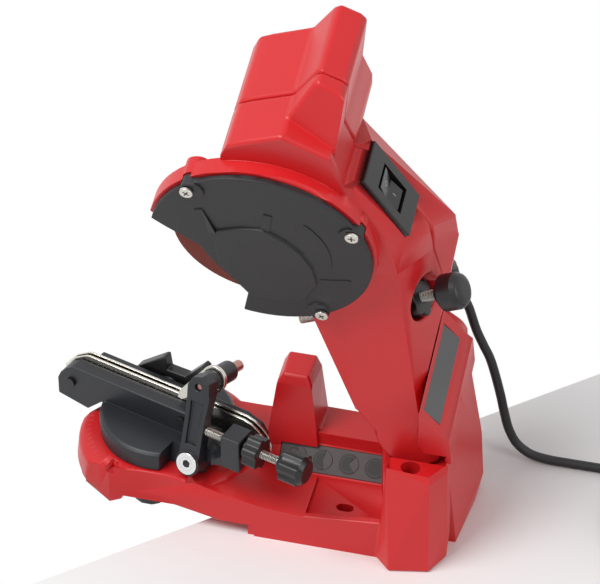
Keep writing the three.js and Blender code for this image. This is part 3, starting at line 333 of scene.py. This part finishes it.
body_of = {node: body for body, nodes in frame["record"]["behaviour"]["bodies"].items() for node in nodes}


def dress(node, material, radius, segments=2):
    """The visible form of a CAD node: its own surface with rounded edges and the given finish."""
    piece = add_piece(node + "_moulding", merged_copy(node), material, body_of[node],
                      radius, segments)
    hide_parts(node)
    return piece


relief = dress("strain_relief", rubber, 0.5)
plug = dress("plug", rubber, 0.8, 3)


# Base: one red injection moulding, satin, with a faint even grain from the tool.
# It carries the turntable bed, the sloping shelf and the tower that the arm swings in.
red_plastic = finish("red_moulded_plastic", "#cf1d21", 0.36, mottle=0.06, gloss_drift=0.1, grain_scale=1100,
                     bump=0.12, depth=0.08)
dress("base_housing", red_plastic, 1.6, 3)


# Angle scale: short moulded marks on the red rim round the turntable, a longer one every 15 degrees.
# All small marks are strips that hug the surface that carries them, with their feet sunk into it.
SUNK, DROP = 0.2, 12
TABLE_CENTRE = Vector((-71, 10, 60))
MARK_START, MARK_SHORT, MARK_LONG, MARK_WIDTH, MARK_HEIGHT = 44.6, 46.8, 48.6, 0.45, 0.12
FIRST_MARK, LAST_MARK, MARK_STEP, LONG_STEP = 140, 220, 5, 15


def surface_of(node):
    """The CAD node's surface, ready to be met by straight lines."""
    shape = merged_copy(node)
    surface = BVHTree.FromBMesh(shape)
    shape.free()
    return surface


def strips(name, lines, surface, outward, width, height, material, body, closed=False):
    """Raised strips along lines of points, each point dropped against the outward direction onto the surface."""
    shape = bmesh.new()
    outward = Vector(outward).normalized()
    for line in lines:
        sections = []
        count = len(line)
        for i, point in enumerate(line):
            ahead = line[(i + 1) % count] if closed else line[min(i + 1, count - 1)]
            behind = line[i - 1] if closed else line[max(i - 1, 0)]
            side = (ahead - behind).cross(outward).normalized() * (width / 2)
            section = []
            for reach, lift in ((-1, -SUNK), (-1, height), (1, height), (1, -SUNK)):
                spot = (point + side * reach) * MM
                met = surface.ray_cast(spot + outward * DROP * MM, -outward)[0]
                section.append(shape.verts.new((met or spot) + outward * lift * MM))
            sections.append(section)
        pairs = list(zip(sections, sections[1:])) + ([(sections[-1], sections[0])] if closed else [])
        for first, second in pairs:
            for k in range(4):
                shape.faces.new((first[k], first[(k + 1) % 4], second[(k + 1) % 4], second[k]))
        if not closed:
            shape.faces.new(sections[0])
            shape.faces.new(sections[-1])
    bmesh.ops.recalc_face_normals(shape, faces=shape.faces)
    return add_piece(name, shape, material, body)


bed_surface = surface_of("base_housing")
marks = []
for degrees in range(FIRST_MARK, LAST_MARK + 1, MARK_STEP):
    ray = Vector((math.cos(math.radians(degrees)), math.sin(math.radians(degrees)), 0))
    mark_end = MARK_LONG if degrees % LONG_STEP == 0 else MARK_SHORT
    mark = [TABLE_CENTRE + ray * reach for reach in (MARK_START, mark_end)]
    if all(bed_surface.ray_cast(end * MM, Vector((0, 0, -1)))[0] for end in mark):
        marks.append(mark)
mark_red = finish("moulded_marks", "#d6514c", 0.4, mottle=0.05, bump=0.05)
strips("angle_marks", marks, bed_surface, (0, 0, 1), MARK_WIDTH, MARK_HEIGHT, mark_red, "base")


# Plates: a flat grey strip with four round pads on the slope, and a plain grey plate on the tower's side.
# Each pad is a thin dark disc with one ring in the plate's own grey.
PAD_CENTRES = [Vector((x, 14.4, 25.6)) for x in (5.5, 20.8, 36.1, 51.4)]
PAD_RADIUS, PAD_HEIGHT, RIM_RADIUS, RIM_WIDTH, RIM_HEIGHT = 5.75, 0.02, 4.6, 0.35, 0.04
DISC_HOLE = 0.05


def ring(centre, first, second, radius, count=28):
    """Points of a circle round a centre, in the plane of two unit directions."""
    return [centre + (first * math.cos(math.tau * i / count) + second * math.sin(math.tau * i / count)) * radius
            for i in range(count)]


plate_grey = finish("grey_printed_plate", "#4b4646", 0.5, mottle=0.1, grain_scale=900, bump=0.05)
dress("info_plate", plate_grey, 0.15)
plate_surface = surface_of("info_plate")
plate_across, plate_up, plate_out = Vector((1, 0, 0)), Vector((0, 0.7071, 0.7071)), Vector((0, -0.7071, 0.7071))
pad_black = finish("printed_pads", "#1d1a1b", 0.5, mottle=0.2, bump=0.03)
pad_middles = [ring(centre, plate_across, plate_up, (PAD_RADIUS + DISC_HOLE) / 2) for centre in PAD_CENTRES]
strips("pad_faces", pad_middles, plate_surface, plate_out, PAD_RADIUS - DISC_HOLE, PAD_HEIGHT, pad_black,
       "base", closed=True)
pad_rims = [ring(centre, plate_across, plate_up, RIM_RADIUS) for centre in PAD_CENTRES]
strips("pad_rims", pad_rims, plate_surface, plate_out, RIM_WIDTH, RIM_HEIGHT, plate_grey,
       "base", closed=True)
dress("rating_plate", finish("grey_rating_plate", "#59595b", 0.42, mottle=0.1, bump=0.04), 0.1)


# Arm: two red shells of the base's plastic that enclose the disc, the motor and the switch's body.
# Their seam runs across the head behind the disc room, and their edges are the softest of the machine.
dress("arm_front_shell", red_plastic, 2.2, 4)
dress("arm_rear_shell", red_plastic, 2.2, 4)


# Guard: a black cover of hard plastic with a grained face, two ribs, an arc and a short ridge on it.
# Three cross-head screws hold it, each turned to a different angle; their crosses are dark strips of painted shade
# on the heads.
HEAD_ORIGIN, HEAD_RISE, HEAD_LEAN = Vector((0, -40, 210)), 0.9537, 0.3007
RIB_WIDTH, RIB_HEIGHT, RIDGE_WIDTH, RIDGE_HEIGHT, ARC_RADIUS = 4.6, 0.5, 1.3, 0.4, 37.2
CROSS_REACH, CROSS_WIDTH, CROSS_HEIGHT, CROSS_FIRST, CROSS_STEP = 1.9, 0.75, 0.03, 20, 35
SCREW_FACE_DEPTH = 0.3
guard_black = finish("black_grained_plastic", "#19191c", 0.5, mottle=0.14, grain_scale=800, bump=0.35, depth=0.12)
dress("guard", guard_black, 0.6, 2)
bright_steel = finish("bright_steel", "#cfccc4", 0.28, metallic=1.0, mottle=0.1, gloss_drift=0.14,
                      grain_scale=700, bump=0.06, depth=0.05, stretch=(1, 1, 0.08))
head_front, head_up = Vector((0, -HEAD_RISE, -HEAD_LEAN)), Vector((0, -HEAD_LEAN, HEAD_RISE))
head_side = Vector((1, 0, 0))
wheel_axis = HEAD_ORIGIN - head_side * 2.9 + head_up * 4.2
guard_surface = surface_of("guard")


def on_guard(*places):
    """Points of the guard's face, given across and up from the wheel's axis."""
    return [wheel_axis + head_side * across + head_up * up for across, up in places]


def face_middle(screw, front, depth):
    """The middle of a screw's face: of its corners that lie within a depth of the foremost one."""
    spots = [corner.co / MM for corner in screw.data.vertices]
    nearest = max(spot.dot(front) for spot in spots)
    rim = [spot for spot in spots if spot.dot(front) > nearest - depth]
    return sum(rim, Vector()) / len(rim)


# Painted shade: thin dark strips on the screw heads stand for the shade inside their cross recesses and sockets.
recess_painted_shade = finish("screw_recess_painted_shade", "#101012", 0.6, bump=0.02)
for number in (1, 2, 3):
    node = f"guard_screw_{number}"
    middle = face_middle(dress(node, bright_steel, 0.4, 2), head_front, SCREW_FACE_DEPTH)
    turn = math.radians(CROSS_FIRST + CROSS_STEP * number)
    cross = [head_side * math.cos(turn) + head_up * math.sin(turn),
             head_up * math.cos(turn) - head_side * math.sin(turn)]
    strips(f"screw_cross_shade_{number}", [[middle - way * CROSS_REACH, middle + way * CROSS_REACH] for way in cross],
           surface_of(node), head_front, CROSS_WIDTH, CROSS_HEIGHT, recess_painted_shade, "arm")
guard_ribs = [on_guard((6, 32), (3.6, 18.4)), on_guard((-31, 28.6), (-24.8, 10.4))]
strips("guard_ribs", guard_ribs, guard_surface, head_front, RIB_WIDTH, RIB_HEIGHT, guard_black, "arm")
guard_arc = [(ARC_RADIUS * math.cos(math.radians(degrees)), ARC_RADIUS * math.sin(math.radians(degrees)))
             for degrees in range(-12, 50, 4)]
guard_ridges = [on_guard(*guard_arc), on_guard((30.9, -19), (47.2, -15.7))]
strips("guard_ridges", guard_ridges, guard_surface, head_front, RIDGE_WIDTH, RIDGE_HEIGHT, guard_black, "arm")


# Grinding disc: bonded abrasive in a reddish brown, open to view where the guard is cut away.
# A turned flange and a hexagon nut clamp it on the motor's spindle, all in bright steel like the pivot pin.
abrasive = finish("bonded_abrasive", "#7c3a30", 0.92, mottle=0.9, grain_scale=1300, bump=0.8, depth=0.3)
dress("grinding_disc", abrasive, 0.2)
for node in ("disc_inner_flange", "disc_nut", "spindle", "motor", "pivot_pin", "return_spring"):
    dress(node, bright_steel, 0.15, 1)


# Switch: a black frame clipped into the arm's side facet, with its body behind it and a glossy rocker in it.
# The rocker has a pale round mark at its upper end and a straight one at its lower end.
FACET_ACROSS, FACET_RISE = 0.8796, 0.4756
ROUND_MARK_UP, ROUND_MARK_RADIUS, ROUND_MARK_WIDTH = 4.6, 1.3, 0.4
LINE_MARK_ENDS, LINE_MARK_WIDTH, PRINT_HEIGHT = (3.4, 6), 0.45, 0.03
knob_black = finish("black_knob_plastic", "#131315", 0.36, mottle=0.12, grain_scale=1500, bump=0.12)
dress("switch_bezel", knob_black, 0.6, 3)
dress("switch_body", knob_black, 0.2, 1)
dress("switch_rocker", finish("glossy_rocker", "#101012", 0.22, mottle=0.05, bump=0.03), 0.3, 2)
rocker_out = (head_side * FACET_ACROSS + head_up * FACET_RISE).normalized()
rocker_up = head_up * FACET_ACROSS - head_side * FACET_RISE
rocker_middle = HEAD_ORIGIN + head_side * 59.7 + head_up * 29 - head_front * 33
pale_print = finish("pale_marks", "#b9b9b4", 0.6, mottle=0.1, bump=0.02)
rocker_surface = surface_of("switch_rocker")
round_mark = ring(rocker_middle + rocker_up * ROUND_MARK_UP, rocker_up, head_front, ROUND_MARK_RADIUS)
strips("rocker_round_mark", [round_mark], rocker_surface, rocker_out, ROUND_MARK_WIDTH, PRINT_HEIGHT,
       pale_print, "rocker", closed=True)
line_mark = [rocker_middle - rocker_up * down for down in LINE_MARK_ENDS]
strips("rocker_line_mark", [line_mark], rocker_surface, rocker_out, LINE_MARK_WIDTH, PRINT_HEIGHT,
       pale_print, "rocker")


# Depth screw: a threaded steel rod in a brass bush, locked by a star knob and turned by a cap knob.
# Its thread is a fine ripple along the rod's axis, one crest to each turn.
THREAD_DEPTH, THREAD_STRENGTH = 0.25 * MM, 0.9
thread_group, thread_in, thread_out = node_group(
    "screw_thread", [("Axis", "NodeSocketVector", (1, 0, 0)), ("Crests per metre", "NodeSocketFloat", 1000)],
    [("Height", "NodeSocketFloat")])
thread_place = thread_group.nodes.new("ShaderNodeTexCoord")
thread_along = thread_group.nodes.new("ShaderNodeVectorMath")
thread_along.operation = "DOT_PRODUCT"
thread_group.links.new(thread_place.outputs["Object"], thread_along.inputs[0])
thread_group.links.new(thread_in.outputs["Axis"], thread_along.inputs[1])
turned = math_node(thread_group, "MULTIPLY", math_node(
    thread_group, "MULTIPLY", thread_along.outputs["Value"], thread_in.outputs["Crests per metre"]), math.tau)
thread_group.links.new(math_node(thread_group, "SINE", turned, 0), thread_out.inputs["Height"])


def threaded(name, axis):
    """Bright steel with a thread of 1 mm pitch round the given axis."""
    material = bright_steel.copy()
    material.name = name
    tree = material.node_tree
    ripple = tree.nodes.new("ShaderNodeGroup")
    ripple.node_tree = thread_group
    ripple.inputs["Axis"].default_value = axis
    crests = next(made for made in tree.nodes if made.bl_idname == "ShaderNodeBump")
    crests.inputs["Strength"].default_value = THREAD_STRENGTH
    crests.inputs["Distance"].default_value = THREAD_DEPTH
    tree.links.new(ripple.outputs["Height"], crests.inputs["Height"])
    return material


dress("depth_bush", finish("turned_brass", "#b08d4a", 0.32, metallic=1.0, bump=0.05), 0.15, 1)
dress("depth_rod", threaded("depth_thread", joints["depth_slide"]["axis"]), 0.2, 1)
dress("depth_lock_knob", knob_black, 0.7, 3)
dress("depth_end_knob", knob_black, 0.7, 3)


# Vise: a black coated casting with its front jaw, two bright steel rails and the loose rear jaw.
# With it come the bolts, the clamp wing and the lobed knob that locks the swivel.
cast_black = finish("black_coated_casting", "#1c1e23", 0.42, mottle=0.16, grain_scale=900, bump=0.25, depth=0.1)
dress("turntable", cast_black, 0.7, 3)
dress("rear_jaw", cast_black, 0.6, 2)
rail_steel = finish("rolled_rail_steel", "#dedad0", 0.2, metallic=1.0, mottle=0.06, gloss_drift=0.1,
                    grain_scale=500, bump=0.04, depth=0.04, stretch=(0.1, 1, 1))
for node in ("front_rail", "rear_rail"):
    dress(node, rail_steel, 0.2, 2)
for node in ("jaw_screw_1", "jaw_screw_2"):
    dress(node, knob_black, 0.2, 1)
for node in ("clamp_bolt", "swivel_bolt", "swivel_washer"):
    dress(node, bright_steel, 0.2, 1)
dress("clamp_wing", knob_black, 0.8, 3)
dress("swivel_lock_knob", knob_black, 1.0, 3)


# Chain stop: a black lever on a plated pivot screw, with a steel pin, a stop finger and its setting screw.
# The pivot screw's socket is a dark disc of painted shade inside its bright ring.
SOCKET_RADIUS, SOCKET_HEIGHT, SOCKET_POINTS, PIVOT_FACE_DEPTH = 4.15, 0.03, 24, 0.1
dress("stop_arm", cast_black, 0.6, 3)
plated = finish("plated_steel", "#e2e2e2", 0.1, metallic=1.0, mottle=0.03, gloss_drift=0.06, bump=0.02)
pivot_screw = dress("stop_pivot_screw", plated, 0.4, 3)
pivot_front = Vector(joints["stop_swing"]["axis"]).normalized()
pivot_side = pivot_front.orthogonal().normalized()
pivot_middle = face_middle(pivot_screw, pivot_front, PIVOT_FACE_DEPTH)
socket_middle = ring(pivot_middle, pivot_side, pivot_front.cross(pivot_side), (SOCKET_RADIUS + DISC_HOLE) / 2,
                     SOCKET_POINTS)
strips("pivot_socket_shade", [socket_middle], surface_of("stop_pivot_screw"), pivot_front, SOCKET_RADIUS - DISC_HOLE,
       SOCKET_HEIGHT, recess_painted_shade, body_of["stop_pivot_screw"], closed=True)
dress("stop_pin", finish("copper_washed_pin", "#b5847a", 0.3, metallic=0.9, bump=0.05), 0.3, 2)
dress("stop_finger", bright_steel, 0.3, 2)
dress("stop_screw_rod", threaded("stop_thread", joints["stop_slide"]["axis"]), 0.2, 1)
dress("stop_lock_knob", knob_black, 0.6, 3)
dress("stop_end_knob", knob_black, 0.6, 3)


# Bench, backdrop and light: a pale slab whose edge runs under the machine, lit softly from above.
# The backdrop is white to the camera and to reflections, and dimmer as a light on the machine.
bench_pale = bpy.data.materials.new("pale_bench")
bench_pale.use_nodes = True
bench_shader = bench_pale.node_tree.nodes["Principled BSDF"]
bench_shader.inputs["Base Color"].default_value = linear("#f2f2f2")
bench_shader.inputs["Roughness"].default_value = 0.5
bench_turn = Matrix.Rotation(math.radians(42.7), 4, "Z")
bench_corner = Vector((-0.033, -0.0185, 0))
BENCH_LONG, BENCH_THICK = 3.0, 0.03
bench_mesh = bpy.data.meshes.new("bench")
bench_shape = bmesh.new()
bmesh.ops.create_cube(bench_shape, size=1)
for vertex in bench_shape.verts:
    along, across, up = vertex.co
    flat = Vector((across * BENCH_LONG, (along - 0.5) * BENCH_LONG, (up - 0.5) * BENCH_THICK))
    vertex.co = bench_turn @ flat + bench_corner
bench_shape.to_mesh(bench_mesh)
bench_shape.free()
bench = bpy.data.objects.new("bench", bench_mesh)
bench_mesh.materials.append(bench_pale)
bpy.context.scene.collection.objects.link(bench)

world = bpy.data.worlds.new("studio")
bpy.context.scene.world = world
world.use_nodes = True
sky = world.node_tree
background = sky.nodes["Background"]
background.inputs["Color"].default_value = (1, 1, 1, 1)
seen = sky.nodes.new("ShaderNodeLightPath")
bright = math_node(sky, "MAXIMUM", seen.outputs["Is Camera Ray"], seen.outputs["Is Glossy Ray"])
WORLD_LEVEL = 0.37
level = math_node(sky, "MULTIPLY_ADD", bright, 1 - WORLD_LEVEL)
level.node.inputs[2].default_value = WORLD_LEVEL
sky.links.new(level, background.inputs["Strength"])


def soft_lamp(name, place, aim, size, watts):
    """A round soft lamp at a place, turned to what it lights."""
    lamp = bpy.data.lights.new(name, "AREA")
    lamp.shape = "DISK"
    lamp.size = size
    lamp.energy = watts
    holder = bpy.data.objects.new(name, lamp)
    toward = Vector(aim) - Vector(place)
    holder.rotation_mode = "QUATERNION"
    holder.rotation_quaternion = toward.to_track_quat("-Z", "Y")
    holder.location = place
    bpy.context.scene.collection.objects.link(holder)


MACHINE_MIDDLE = (0, 0, 0.15)
soft_lamp("key_lamp", (-0.7, -0.6, 1.5), MACHINE_MIDDLE, 0.9, 20)
soft_lamp("side_lamp", (1.3, -0.5, 0.9), MACHINE_MIDDLE, 0.7, 5)
bpy.context.scene.view_settings.view_transform = "Standard"
